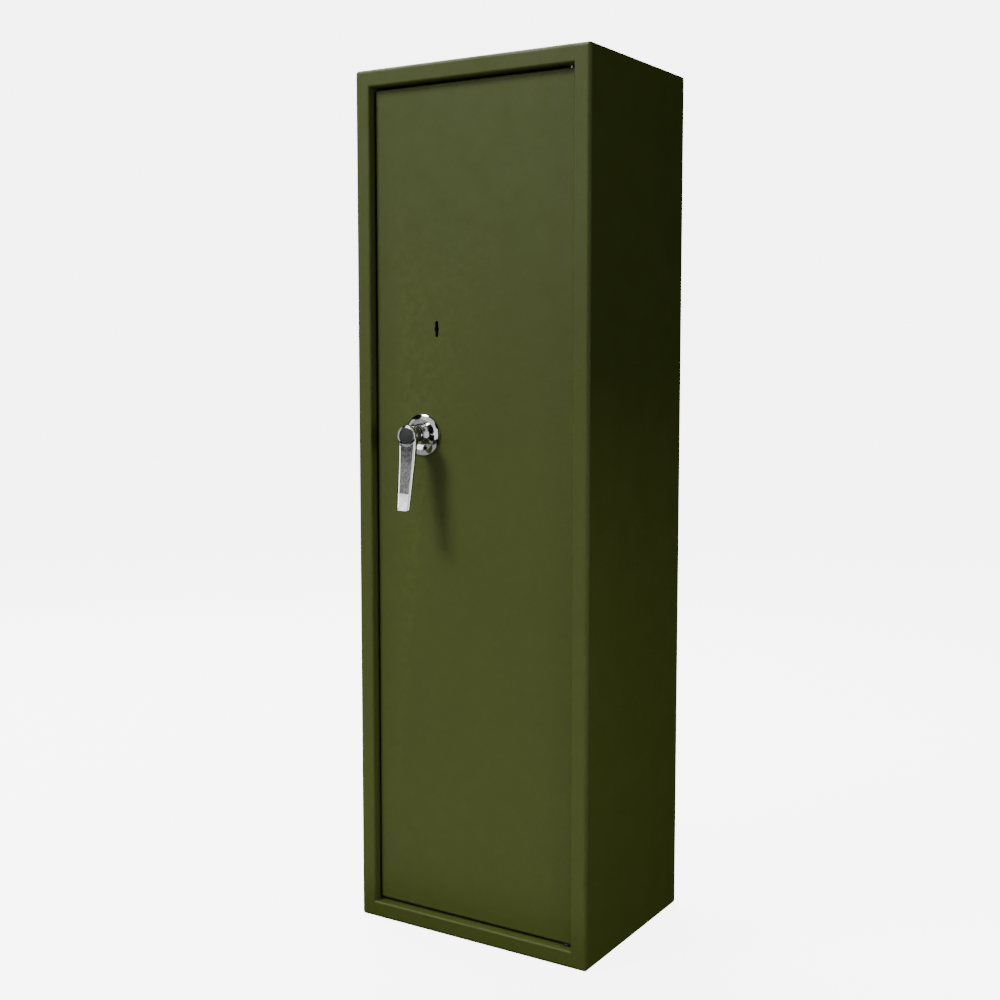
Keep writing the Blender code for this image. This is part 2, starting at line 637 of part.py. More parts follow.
def make_bolt_work(steel, zinc):
    """The bar, its three bolts, the arm that the cam pin drives and the tab the lock holds."""
    bar_left, bar_right = BOLT_TAIL_X + GAP, BOLT_TAIL_X + GAP + 5.0
    bar = box((bar_left, -122.0, 225.0), (bar_right, -98.0, 1075.0))
    add_solid("bolt_bar", bar, zinc, "bolts")
    for i, z in enumerate(BOLT_HEIGHTS):
        profile = [(0, BOLT_TIP_X), (BOLT_R - 1.0, BOLT_TIP_X), (BOLT_R, BOLT_TIP_X + 1.0)]
        profile += [(BOLT_R, BOLT_TAIL_X), (0, BOLT_TAIL_X)]
        bolt = turned(profile, "x", (BOLT_Y, z), 28)
        add_solid(f"side_bolt_{i + 1}", bolt, steel, "bolts", round_piece=True)

    foot = bar_right + GAP
    pin_x = HANDLE_X + CAM_PIN_OFFSET
    slot_half = CAM_PIN_R + 0.75
    path = [(foot, -100.0), (foot, -113.0), (pin_x + 9.5, -113.0)]
    arm_outline = folded_sheet(path, 4.0, (5.0,))
    arm_mesh = prism(arm_outline, "z", HANDLE_Z - 2.5, HANDLE_Z + 22.5)
    arm = add_solid("drive_arm", arm_mesh, zinc, "bolts")
    slot_low = (pin_x - slot_half, -115.0, HANDLE_Z + 4.0)
    cut(arm, box(slot_low, (pin_x + slot_half, -107.0, HANDLE_Z + 16.0)))

    path = [(foot, -106.0), (foot, -127.0), (-35.0, -127.0)]
    tab_mesh = prism(folded_sheet(path, 4.0, (5.0,)), "z", LOCK_TAB_BOTTOM, LOCK_TAB_BOTTOM + 22.0)
    tab = add_solid("lock_tab", tab_mesh, zinc, "bolts")
    for x in (KEYHOLE_X, KEYHOLE_X + BOLT_THROW):
        notch_low = (x - 5.6, -129.0, LOCK_TAB_BOTTOM - 1.0)
        cut(tab, box(notch_low, (x + 5.6, -119.0, LOCK_TAB_BOTTOM + 10.0)))


def main():
    clear_scene()
    make_joint_axes()
    olive = make_material("olive_powder_coat", (0.069, 0.084, 0.021), 0.0, 0.5)
    chrome = make_material("bright_chrome", (0.62, 0.62, 0.6), 1.0, 0.12)
    dark = make_material("dark_cap", (0.05, 0.052, 0.055), 0.3, 0.35)
    zinc = make_material("zinc_plate", (0.45, 0.46, 0.45), 1.0, 0.4)
    steel = make_material("bright_steel", (0.5, 0.5, 0.5), 1.0, 0.3)
    grey = make_material("grey_paint", (0.055, 0.06, 0.055), 0.0, 0.5)
    plastic = make_material("black_plastic", (0.015, 0.015, 0.015), 0.0, 0.5)
    foam = make_material("black_foam", (0.02, 0.02, 0.02), 0.0, 0.95)
    felt = make_material("grey_felt", (0.06, 0.06, 0.06), 0.0, 1.0)

    make_side_panel("left_side_panel", -1, olive)
    make_side_panel("right_side_panel", 1, olive)
    make_end_panel("roof_panel", HEIGHT, -1, olive)
    floor = make_end_panel("floor_panel", 0.0, 1, olive)
    for place in FLOOR_ANCHORS:
        cut(floor, rod(ANCHOR_HOLE_R, "z", place, -1.0, SHEET + 1.0))
    make_back_panel(olive)
    make_hinge_blocks(olive, plastic)
    make_anchor_plugs(plastic)
    make_barrel_rest(olive, foam, zinc)
    make_shelf(olive)
    make_floor_mat(felt)
    make_door_skin(olive)
    make_bolt_guide(zinc)
    make_dead_bar(zinc)
    make_stiffener(zinc)
    make_door_pins(zinc, steel)
    make_mechanism_cover(grey, zinc)
    make_lock(zinc, steel)
    make_handle(chrome, dark, steel, zinc)
    make_handle_fixings(chrome, zinc)
    make_bolt_work(steel, zinc)
    bpy.context.view_layer.update()


main()
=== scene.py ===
"""The looks of the gun safe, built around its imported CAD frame.

Lengths here are millimetres, turned into metres as each mesh is made.
"""

import math

import bmesh
import bpy
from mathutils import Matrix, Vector


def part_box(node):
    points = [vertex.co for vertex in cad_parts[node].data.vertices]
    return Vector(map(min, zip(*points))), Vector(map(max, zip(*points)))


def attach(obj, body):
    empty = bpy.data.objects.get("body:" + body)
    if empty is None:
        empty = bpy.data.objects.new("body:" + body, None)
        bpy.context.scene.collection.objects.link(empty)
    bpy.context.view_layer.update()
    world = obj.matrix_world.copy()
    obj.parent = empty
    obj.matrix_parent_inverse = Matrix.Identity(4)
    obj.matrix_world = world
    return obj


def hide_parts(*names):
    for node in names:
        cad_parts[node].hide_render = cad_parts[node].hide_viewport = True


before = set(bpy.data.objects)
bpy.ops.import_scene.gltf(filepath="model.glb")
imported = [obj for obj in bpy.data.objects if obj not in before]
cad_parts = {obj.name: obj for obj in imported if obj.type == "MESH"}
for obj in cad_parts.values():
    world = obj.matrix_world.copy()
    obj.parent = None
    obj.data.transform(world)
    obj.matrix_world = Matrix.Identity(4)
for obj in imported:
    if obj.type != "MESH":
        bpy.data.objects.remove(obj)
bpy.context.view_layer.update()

MM = 0.001
LIP_R = 3.0  # inner edge of the frame and edges of the door
BEND_R = 6.0  # outer vertical and top edges at the front
CORNER_R = 5.0  # corners of the cabinet seen from the front
SHEET = 2.0  # thickness of the cabinet's sheet
RETURN_DEPTH = 30.0  # how far the jamb runs back from the frame's front
PIN_HOLE_R = 4.4
ANCHOR_HOLE_R = 5.0


def cad_box(node):
    """A CAD node's lowest and highest corners, in millimetres."""
    low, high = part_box(node)
    return low / MM, high / MM


# ---------------------------------------------------------------- mesh helpers


def finish_mesh(name, mesh, material, body, nodes, sharp=35.0):
    """Turns a bmesh in millimetres into a piece that rides on a body and stands for CAD nodes."""
    bmesh.ops.scale(mesh, verts=mesh.verts, vec=(MM, MM, MM))
    bmesh.ops.recalc_face_normals(mesh, faces=mesh.faces)
    data = bpy.data.meshes.new(name)
    mesh.to_mesh(data)
    mesh.free()
    data.shade_smooth()
    data.set_sharp_from_angle(angle=math.radians(sharp))
    data.materials.append(material)
    piece = bpy.data.objects.new(name, data)
    bpy.context.scene.collection.objects.link(piece)
    if body:
        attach(piece, body)
    if nodes:
        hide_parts(*nodes)
    return piece


def combine(piece, cutters, operation="DIFFERENCE"):
    """Applies Booleans with these bmeshes, then removes the helper objects."""
    helpers = []
    for i, mesh in enumerate(cutters):
        helper = finish_mesh(f"{piece.name}_helper_{i}", mesh, piece.data.materials[0], None, ())
        modifier = piece.modifiers.new(helper.name, "BOOLEAN")
        modifier.operation = operation
        modifier.object = helper
        helpers.append(helper)
    bake_modifiers(piece)
    for helper in helpers:
        bpy.data.objects.remove(helper, do_unlink=True)


def bake_modifiers(piece):
    bpy.context.view_layer.update()
    evaluated = piece.evaluated_get(bpy.context.evaluated_depsgraph_get())
    mesh = bpy.data.meshes.new_from_object(evaluated)
    piece.modifiers.clear()
    piece.data = mesh


def paint_faces(piece, material, wanted):
    """Gives another finish to the faces whose centre and normal this test picks, in millimetres."""
    piece.data.materials.append(material)
    index = len(piece.data.materials) - 1
    for face in piece.data.polygons:
        if wanted(face.center / MM, face.normal):
            face.material_index = index


def weight_normals(piece):
    """Keeps large flat faces flat where they meet small rounded edges."""
    modifier = piece.modifiers.new("flat_faces", "WEIGHTED_NORMAL")
    modifier.keep_sharp = True
    modifier.weight = 100
    bake_modifiers(piece)


def along(axis, u, v, distance):
    if axis == "x":
        return (distance, u, v)
    if axis == "y":
        return (u, distance, v)
    return (u, v, distance)


def turned(profile, axis, centre, segments=72):
    """Turns (radius, distance) points about an axis. A profile off the axis gives a ring."""
    mesh = bmesh.new()
    rings = []
    for radius, distance in profile:
        count = segments if radius > 0 else 1
        points = []
        for i in range(count):
            angle = 2 * math.pi * i / segments
            u = centre[0] + radius * math.cos(angle)
            v = centre[1] + radius * math.sin(angle)
            points.append(mesh.verts.new(along(axis, u, v, distance)))
        rings.append(points)
    pairs = list(zip(rings, rings[1:]))
    if profile[0][0] > 0:
        pairs.append((rings[-1], rings[0]))
    for first, second in pairs:
        for i in range(segments):
            j = (i + 1) % segments
            corners = [first[i % len(first)], first[j % len(first)]]
            corners += [second[j % len(second)], second[i % len(second)]]
            unique = list(dict.fromkeys(corners))
            if len(unique) > 2:
                mesh.faces.new(unique)
    return mesh


def drill(radius, start, end):
    """The (radius, distance) outline of a plain round hole's cutter."""
    return [(0, start), (radius, start), (radius, end), (0, end)]


def box_mesh(low, high):
    """A block between two corners."""
    mesh = bmesh.new()
    bmesh.ops.create_cube(mesh, size=1.0)
    bmesh.ops.scale(mesh, verts=mesh.verts, vec=[high[i] - low[i] for i in range(3)])
    bmesh.ops.translate(mesh, verts=mesh.verts, vec=[(high[i] + low[i]) / 2 for i in range(3)])
    return mesh


def loft(sections):
    """Joins loops of points with the same count, and caps both ends."""
    mesh = bmesh.new()
    loops = [[mesh.verts.new(point) for point in section] for section in sections]
    for first, second in zip(loops, loops[1:]):
        count = len(first)
        for i in range(count):
            j = (i + 1) % count
            mesh.faces.new((first[i], first[j], second[j], second[i]))
    mesh.faces.new(loops[0])
    mesh.faces.new(loops[-1])
    return mesh


def arc(centre, radius, start, end, steps):
    """Points on an arc, from one angle to another in degrees."""
    points = []
    for i in range(steps + 1):
        angle = math.radians(start + (end - start) * i / steps)
        points.append((centre[0] + radius * math.cos(angle), centre[1] + radius * math.sin(angle)))
    return points


def rounded_rectangle(left, right, bottom, top, radius, y, steps=6):
    """A loop of points in a plane facing Y, with a round at each corner."""
    radius = max(radius, 0.4)
    corners = [(right - radius, bottom + radius, -90), (right - radius, top - radius, 0)]
    corners += [(left + radius, top - radius, 90), (left + radius, bottom + radius, 180)]
    loop = []
    for x, z, start in corners:
        loop += [(u, y, v) for u, v in arc((x, z), radius, start, start + 90, steps)]
    return loop


def frame_sweep(low, high, profile, corner_radius):
    """Carries an (inset, y) profile round a rectangle, and closes it with a face at each end."""
    sections = []
    for inset, y in profile:
        edges = (low[0] + inset, high[0] - inset, low[2] + inset, high[2] - inset)
        sections.append(rounded_rectangle(*edges, corner_radius - inset, y))
    return loft(sections)


# ---------------------------------------------------------------- material helpers


COLOUR_A, COLOUR_B, COLOUR_OUT = 6, 7, 2  # the Mix node's sockets when it mixes colours


class Material:
    """A Principled material with a few short ways to add procedural detail."""

    def __init__(self, name, colour, metallic=0.0, roughness=0.5, **sockets):
        self.material = bpy.data.materials.new(name)
        self.material.use_nodes = True
        self.tree = self.material.node_tree
        self.shader = self.tree.nodes["Principled BSDF"]
        self.colour = colour
        self.shader.inputs["Base Color"].default_value = (*colour, 1.0)
        self.shader.inputs["Metallic"].default_value = metallic
        self.shader.inputs["Roughness"].default_value = roughness
        for socket, value in sockets.items():
            self.shader.inputs[socket.replace("_", " ")].default_value = value
        self.place = self.tree.nodes.new("ShaderNodeTexCoord").outputs["Object"]
        self.normal = None

    def node(self, kind, **values):
        made = self.tree.nodes.new("ShaderNode" + kind)
        for key, value in values.items():
            if hasattr(made, key):
                setattr(made, key, value)
            else:
                made.inputs[key.replace("_", " ")].default_value = value
        return made

    def link(self, source, target):
        self.tree.links.new(source, target)

    def noise(self, size_mm, detail=3.0, roughness=0.5, stretch=(1, 1, 1)):
        """Noise whose features are about this many millimetres across, stretched along an axis."""
        mapping = self.node("Mapping", Scale=tuple(1 / s for s in stretch))
        self.link(self.place, mapping.inputs["Vector"])
        made = self.node("TexNoise", Scale=1 / (size_mm * MM), Detail=detail, Roughness=roughness)
        self.link(mapping.outputs["Vector"], made.inputs["Vector"])
        return made.outputs["Fac"]

    def spots(self, size_mm, radius):
        """Dots at scattered places: 1 inside a dot and 0 outside."""
        made = self.node("TexVoronoi", Scale=1 / (size_mm * MM), Randomness=1.0)
        self.link(self.place, made.inputs["Vector"])
        return self.remap(made.outputs["Distance"], radius, radius * 0.5, 0.0, 1.0)

    def remap(self, value, from_low, from_high, to_low, to_high):
        made = self.node("MapRange")
        for socket, number in zip(("From Min", "From Max", "To Min", "To Max"),
                                  (from_low, from_high, to_low, to_high)):
            made.inputs[socket].default_value = number
        self.link(value, made.inputs["Value"])
        return made.outputs["Result"]

    def tint(self, factor, colour):
        """Mixes another colour over what the base colour is so far."""
        mix = self.node("Mix", data_type="RGBA")
        base = self.shader.inputs["Base Color"]
        if base.links:
            self.link(base.links[0].from_socket, mix.inputs[COLOUR_A])
        else:
            mix.inputs[COLOUR_A].default_value = (*self.colour, 1.0)
        mix.inputs[COLOUR_B].default_value = (*colour, 1.0)
        self.link(factor, mix.inputs[0])
        self.link(mix.outputs[COLOUR_OUT], base)

    def vary_roughness(self, value):
        self.link(value, self.shader.inputs["Roughness"])

    def bump(self, height, depth_mm, strength=1.0):
        made = self.node("Bump", Strength=strength, Distance=depth_mm * MM)
        self.link(height, made.inputs["Height"])
        if self.normal:
            self.link(self.normal, made.inputs["Normal"])
        self.normal = made.outputs["Normal"]
        self.link(self.normal, self.shader.inputs["Normal"])

    def worn_edges(self, colour, width_mm=1.2, most=0.5):
        """Lightens the colour along outer edges, broken up by noise."""
        geometry = self.node("NewGeometry")
        edge = self.remap(geometry.outputs["Pointiness"], 0.52, 0.58, 0.0, most)
        patch = self.remap(self.noise(width_mm * 8), 0.45, 0.6, 0.2, 1.0)
        product = self.node("Math", operation="MULTIPLY")
        self.link(edge, product.inputs[0])
        self.link(patch, product.inputs[1])
        self.tint(product.outputs[0], colour)


def scaled(colour, factor):
    return tuple(channel * factor for channel in colour)


def powder_coat(name, colour, roughness=0.5):
    """Fine textured powder coat: orange peel, a grain of tiny bumps, faint smudges and dust."""
    made = Material(name, colour, 0.0, roughness, Specular_IOR_Level=0.4)
    made.tint(made.remap(made.noise(160, 4), 0.35, 0.65, 0.0, 0.5), scaled(colour, 0.9))
    made.tint(made.remap(made.noise(28, 5), 0.5, 0.72, 0.0, 0.35), scaled(colour, 1.12))
    made.tint(made.remap(made.noise(0.9, 2), 0.4, 0.7, 0.0, 0.6), scaled(colour, 1.22))
    made.tint(made.remap(made.spots(26, 0.03), 0.0, 1.0, 0.0, 0.5), scaled(colour, 1.9))
    made.worn_edges(scaled(colour, 1.35))
    made.vary_roughness(made.remap(made.noise(45, 5), 0.35, 0.7, roughness - 0.07, roughness + 0.09))
    made.bump(made.noise(320, 1), 0.5, 0.5)
    made.bump(made.noise(2.4, 2), 0.05)
    made.bump(made.noise(0.8, 1), 0.035)
    return made.material


def polished_chrome(name, colour, roughness=0.07):
    """Bright plating over a casting: soft ripples, tiny pits and a smudged shine."""
    made = Material(name, colour, 1.0, roughness)
    made.tint(made.remap(made.noise(9, 4), 0.5, 0.75, 0.0, 0.25), scaled(colour, 0.8))
    made.tint(made.remap(made.spots(3.1, 0.09), 0.0, 1.0, 0.0, 0.4), scaled(colour, 0.5))
    made.vary_roughness(made.remap(made.noise(6, 5), 0.4, 0.7, roughness, roughness + 0.1))
    made.bump(made.noise(9, 2), 0.003, 0.6)
    made.bump(made.noise(1.1, 2), 0.002, 0.7)
    return made.material


def plating_with_painted_reflection(name, colour, roughness):
    """Plating with painted dark reflection: its dark colour, blotches and short upright streaks stand in
    for mottled dark reflections, and varied roughness and bumps dull the shine.
    """
    made = Material(name, colour, 1.0, roughness)
    # painted reflection: dark blotches and lighter upright streaks stand in for the panel's mottled
    # reflection
    made.tint(made.remap(made.noise(3.2, 5, 0.7, (1, 1, 1.8)), 0.42, 0.62, 0.0, 0.85), scaled(colour, 0.3))
    made.tint(made.remap(made.noise(0.9, 3, 0.6, (1, 1, 5)), 0.5, 0.7, 0.0, 0.6), scaled(colour, 1.3))
    made.vary_roughness(made.remap(made.noise(4, 4), 0.35, 0.7, roughness - 0.08, roughness + 0.12))
    made.bump(made.noise(1.6, 4, 0.6, (1, 1, 2)), 0.03, 0.7)
    return made.material


def satin_metal(name, colour, roughness=0.34):
    """Dull grey metal that mirrors little of its surroundings, with faint turning lines."""
    made = Material(name, colour, 0.35, roughness)
    made.tint(made.remap(made.noise(7, 4), 0.4, 0.7, 0.0, 0.5), scaled(colour, 0.7))
    lines = made.noise(0.7, 2, 0.5, (8, 1, 8))
    made.vary_roughness(made.remap(lines, 0.3, 0.7, roughness - 0.06, roughness + 0.1))
    made.bump(lines, 0.01, 0.7)
    return made.material


def brushed_metal(name, colour, roughness, stretch, warm=(1.08, 1.0, 0.85)):
    """Plated or ground steel with fine lines along one axis and a faint tarnish."""
    made = Material(name, colour, 1.0, roughness)
    tarnish = tuple(c * w for c, w in zip(scaled(colour, 0.75), warm))
    made.tint(made.remap(made.noise(22, 5), 0.45, 0.7, 0.0, 0.6), tarnish)
    grain = made.noise(0.6, 2, 0.5, stretch)
    made.tint(made.remap(grain, 0.35, 0.7, 0.0, 0.3), scaled(colour, 0.7))
    made.vary_roughness(made.remap(grain, 0.3, 0.7, roughness - 0.06, roughness + 0.12))
    made.bump(grain, 0.01, 0.8)
    return made.material


def moulded_plastic(name, colour, roughness=0.45):
    made = Material(name, colour, 0.0, roughness)
    made.tint(made.remap(made.noise(5, 4), 0.4, 0.7, 0.0, 0.5), scaled(colour, 1.5))
    made.vary_roughness(made.remap(made.noise(3, 3), 0.35, 0.7, roughness - 0.08, roughness + 0.1))
    made.bump(made.noise(0.5, 2), 0.02, 0.8)
    return made.material


def cell_foam(name, colour):
    """Closed-cell foam with a skin of small open cells, their pits darkened with painted shade."""
    made = Material(name, colour, 0.0, 0.9, Sheen_Weight=0.15)
    made.tint(made.remap(made.noise(12, 4), 0.4, 0.7, 0.0, 0.5), scaled(colour, 1.7))
    cells = made.spots(1.3, 0.45)
    # painted shade: the cells' pits are darkened as if in shadow
    made.tint(made.remap(cells, 0.0, 1.0, 0.0, 0.5), scaled(colour, 0.5))
    made.bump(made.remap(cells, 0.0, 1.0, 1.0, 0.0), 0.25, 0.8)
    made.bump(made.noise(0.5, 2), 0.05)
    return made.material


def needled_felt(name, colour):
    """Short tangled fibres in two grey tones."""
    made = Material(name, colour, 0.0, 0.95, Sheen_Weight=0.35)
    made.tint(made.remap(made.noise(1.2, 4, 0.7, (3, 1, 1)), 0.4, 0.6, 0.0, 0.8), scaled(colour, 1.9))
    made.tint(made.remap(made.noise(1.4, 4, 0.7, (1, 3, 1)), 0.45, 0.65, 0.0, 0.7), scaled(colour, 0.45))
    made.tint(made.remap(made.noise(60, 3), 0.4, 0.7, 0.0, 0.4), scaled(colour, 1.3))
    made.bump(made.noise(1.0, 5, 0.8, (2, 2, 1)), 0.5, 0.9)
    return made.material


OLIVE = (0.083, 0.107, 0.016)
CHROME = (0.72, 0.72, 0.71)
ZINC = (0.5, 0.51, 0.5)
STEEL = (0.56, 0.56, 0.56)

coat = powder_coat("olive_powder_coat", OLIVE, 0.56)
cover_paint = powder_coat("grey_cover_paint", (0.05, 0.053, 0.05), 0.42)
chrome = polished_chrome("bright_chrome", CHROME)
# the lever panel's plating, whose dark colour is painted dark reflection
panel_painted_reflection = plating_with_painted_reflection("panel_chrome_painted_reflection", (0.22, 0.22, 0.22), 0.2)
satin = satin_metal("satin_neck", (0.13, 0.13, 0.13))
cap_black = moulded_plastic("dark_hub_disc", (0.035, 0.036, 0.038), 0.55)
zinc_tall = brushed_metal("zinc_plate_tall", ZINC, 0.36, (1, 1, 25))
zinc_round = brushed_metal("zinc_plate_round", ZINC, 0.32, (4, 4, 4))
steel_long = brushed_metal("ground_steel_across", STEEL, 0.22, (25, 1, 1), (1, 1, 0.97))
steel_upright = brushed_metal("ground_steel_upright", STEEL, 0.24, (1, 1, 25), (1, 1, 0.97))
plastic = moulded_plastic("black_plug_plastic", (0.013, 0.013, 0.014))
foam = cell_foam("black_rest_foam", (0.018, 0.018, 0.02))
felt = needled_felt("grey_mat_felt", (0.055, 0.055, 0.057))


# ---------------------------------------------------------------- cabinet

cabinet_low = cad_box("left_side_panel")[0]
cabinet_high = cad_box("right_side_panel")[1]
frame_width = cad_box("floor_panel")[1].z
front_y = cabinet_low.y
back_y = cabinet_high.y
pin_low, pin_high = cad_box("lower_hinge_pin")
hinge_place = ((pin_low.x + pin_high.x) / 2, (pin_low.y + pin_high.y) / 2)


def centre_of(node):
    low, high = cad_box(node)
    return (low + high) / 2


def frame_profile():
    """(inset, y) round the folded wall: back edge, wall, frame, lip, jamb, and back along the inside."""
    depth = front_y + RETURN_DEPTH
    outer = arc((1.5, back_y - 1.5), 1.5, 90, 180, 4)
    outer += [(0.0, y) for y in (back_y - 40.0, 0.0, front_y + 40.0)]
    outer += arc((BEND_R, front_y + BEND_R), BEND_R, 180, 270, 10)
    outer += arc((frame_width - LIP_R, front_y + LIP_R), LIP_R, 270, 360, 8)
    outer += [(frame_width, depth - 0.4), (frame_width - 0.4, depth)]
    inner_lip = LIP_R - SHEET
    inner = [(frame_width - SHEET + 0.4, depth), (frame_width - SHEET, depth - 0.4)]
    inner += arc((frame_width - LIP_R, front_y + LIP_R), inner_lip, 360, 270, 4)
    inner += arc((BEND_R, front_y + BEND_R), BEND_R - SHEET, 270, 180, 6)
    inner += [(SHEET, back_y - SHEET)]
    return outer + inner


def make_cabinet():
    """One welded shell: walls, roof, floor, back and the frame round the door, with its anchor holes."""
    shell_mesh = frame_sweep(cabinet_low, cabinet_high, frame_profile(), CORNER_R)
    panels = ("left_side_panel", "right_side_panel", "roof_panel", "floor_panel", "back_panel")
    shell = finish_mesh("cabinet_shell", shell_mesh, coat, "root", panels)
    holes = []
    for i in range(1, 5):
        middle = centre_of(f"back_anchor_plug_{i}")
        holes.append(flared_hole(ANCHOR_HOLE_R, "y", (middle.x, middle.z), back_y, -1))
    for i in range(1, 3):
        middle = centre_of(f"floor_anchor_plug_{i}")
        holes.append(flared_hole(ANCHOR_HOLE_R, "z", (middle.x, middle.y), 0.0, 1))
    for z in (frame_width, cabinet_high.z - frame_width):
        holes.append(turned(drill(PIN_HOLE_R, z - 4, z + 4), "z", hinge_place, 40))
    combine(shell, holes)
    weight_normals(shell)


def flared_hole(radius, axis, centre, surface, inward):
    """A cutter for a hole with a small chamfer where it meets the outer surface."""
    profile = [(0, surface - inward), (radius + 1.4, surface - inward), (radius, surface + inward * 0.4)]
    profile += [(radius, surface + inward * (SHEET + 1)), (0, surface + inward * (SHEET + 1))]
    return turned(profile, axis, centre, 40)


def weld_bead(name, start, end, radius, body, material):
    """A line of overlapping weld ripples between two points."""
    start = Vector(start)
    end = Vector(end)
    run = end - start
    steps = max(int(run.length / 1.1), 4)
    across = run.normalized().orthogonal().normalized()
    other = run.normalized().cross(across)
    sections = []
    for i in range(steps + 1):
        t = i / steps
        ripple = radius * (0.82 + 0.18 * math.sin(i * 2.1)) * min(1.0, 6 * min(t, 1 - t) + 0.25)
        point = start + run * t
        loop = []
        for k in range(8):
            angle = 2 * math.pi * k / 8
            loop.append(tuple(point + ripple * (math.cos(angle) * across + math.sin(angle) * other)))
        sections.append(loop)
    return finish_mesh(name, loft(sections), material, body, (), 60)


def make_weld_beads():
    """Short welds inside the cabinet, that hold the hinge blocks to the frame."""
    for node, z_side in (("upper_hinge_block", "low"), ("lower_hinge_block", "high")):
        low, high = cad_box(node)
        z = low.z - 0.1 if z_side == "low" else high.z + 0.1
        start = (low.x + 2, high.y + 0.8, z)
        end = (high.x - 2, high.y + 0.8, z)
        weld_bead("weld_" + node, start, end, 1.5, "root", coat)


# ---------------------------------------------------------------- door

DOOR_PLATE = 3.0  # thickness of the door plate and its folds
DOOR_CORNER_R = 4.0
HANDLE_HOLE_R = 10.0
DOOR_PIN_HOLE_R = 4.3
KEY_WIDTH = 5.0
KEY_BULGE = 7.4
KEY_HEIGHT = 23.2
KEY_RISE = 2.7  # the keyhole's middle above the lock case's

door_low, door_high = cad_box("door_skin")
rose_low, rose_high = cad_box("handle_rose")
handle_x = (rose_low.x + rose_high.x) / 2
handle_z = (rose_low.z + rose_high.z) / 2
key_x = centre_of("lock_bolt").x
case_low, case_high = cad_box("lock_case")
key_z = (case_low.z + case_high.z) / 2 + KEY_RISE


def keyhole_loop(grow, y):
    """An upright slot with round ends and a round bulge at its middle."""
    slot = KEY_WIDTH / 2 + grow
    bulge = KEY_BULGE / 2 + grow
    straight = KEY_HEIGHT / 2 - KEY_WIDTH / 2
    meet = math.degrees(math.acos(slot / bulge))
    quarter = arc((0, 0), bulge, 0, meet, 8)
    quarter += arc((0, straight), slot, 0, 90, 8)
    upper = quarter + [(-u, v) for u, v in quarter[-2::-1]]
    lower = [(u, -v) for u, v in upper[-2:0:-1]]
    return [(key_x + u, y, key_z + v) for u, v in upper + lower]


def make_door():
    """The folded door plate with rounded edges, a stamped keyhole and a hole for the handle."""
    face = door_low.y
    plate_back = face + DOOR_PLATE
    rear = door_high.y
    profile = [(LIP_R + 14.0, face)]
    profile += [(u, v) for u, v in arc((LIP_R, face + LIP_R), LIP_R, 270, 180, 8)]
    profile += [(0.0, rear - 0.4), (0.4, rear), (DOOR_PLATE - 0.4, rear), (DOOR_PLATE, rear - 0.4)]
    profile += [(DOOR_PLATE, plate_back + 0.8), (DOOR_PLATE + 0.8, plate_back)]
    leaf_mesh = frame_sweep(door_low, door_high, profile, DOOR_CORNER_R)
    leaf = finish_mesh("door_leaf", leaf_mesh, coat, "door", ("door_skin",))
    stamped = [(0.9, face - 0.8), (0.45, face + 0.05), (0.12, face + 0.35), (0.0, face + 0.8)]
    stamped += [(0.0, plate_back + 1.0)]
    key_cutter = loft([keyhole_loop(grow, y) for grow, y in stamped])
    handle_hole = turned(drill(HANDLE_HOLE_R, face - 1, plate_back + 1), "y", (handle_x, handle_z))
    pin_holes = []
    for z in (door_low.z, door_high.z):
        pin_holes.append(turned(drill(DOOR_PIN_HOLE_R, z - 4, z + 4), "z", hinge_place, 40))
    combine(leaf, [key_cutter, handle_hole, *pin_holes])
    weight_normals(leaf)


def make_cover():
    """The rear cover: a pan with rounded folds, four pressed lines and its screw holes."""
    low, high = cad_box("mechanism_cover")
    sheet = 1.0
    mesh = box_mesh(low, high)
    rear = [e for e in mesh.edges if all(abs(v.co.y - high.y) < 0.01 for v in e.verts)]
    bmesh.ops.bevel(mesh, geom=rear, offset=2.5, segments=5, profile=0.5, affect="EDGES")
    cover = finish_mesh("lock_work_cover", mesh, cover_paint, "door", ("mechanism_cover",))
    hollow_low = (low.x - 3, low.y - 1, low.z + sheet)
    cutters = [box_mesh(hollow_low, (high.x - sheet, high.y - sheet, high.z - sheet))]
    screw_hole_r = 2.3
    for i in range(1, 5):
        place = centre_of(f"cover_screw_{i}")
        cutters.append(turned(drill(screw_hole_r, high.y - 3, high.y + 1), "y", (place.x, place.z), 32))
    groove = 1.6  # half the width of a pressed line
    inset = 26.0
    groove_low = low.z + inset * 2
    groove_high = high.z - inset * 2
    for edge_x in (low.x + inset, high.x - inset):
        cutters.append(groove_cutter((edge_x, groove_low), (edge_x, groove_high), high.y, groove))
    for z in (groove_low, groove_high):
        cutters.append(groove_cutter((low.x + inset, z), (high.x - inset, z), high.y, groove))
    combine(cover, cutters)
    weight_normals(cover)


def groove_cutter(start, end, surface, half_width):
    """A shallow V pressed along a line of a face square to Y."""
    depth = 0.45
    along_x = start[1] == end[1]
    sections = []
    for x, z in (start, end):
        loop = []
        for share, rise in ((-1, 1.0), (-1, 0.0), (0, -depth), (1, 0.0), (1, 1.0)):
            offset = half_width * share
            point = (x, surface + rise, z + offset) if along_x else (x + offset, surface + rise, z)
            loop.append(point)
        sections.append(loop)
    return loft(sections)


# ---------------------------------------------------------------- handle

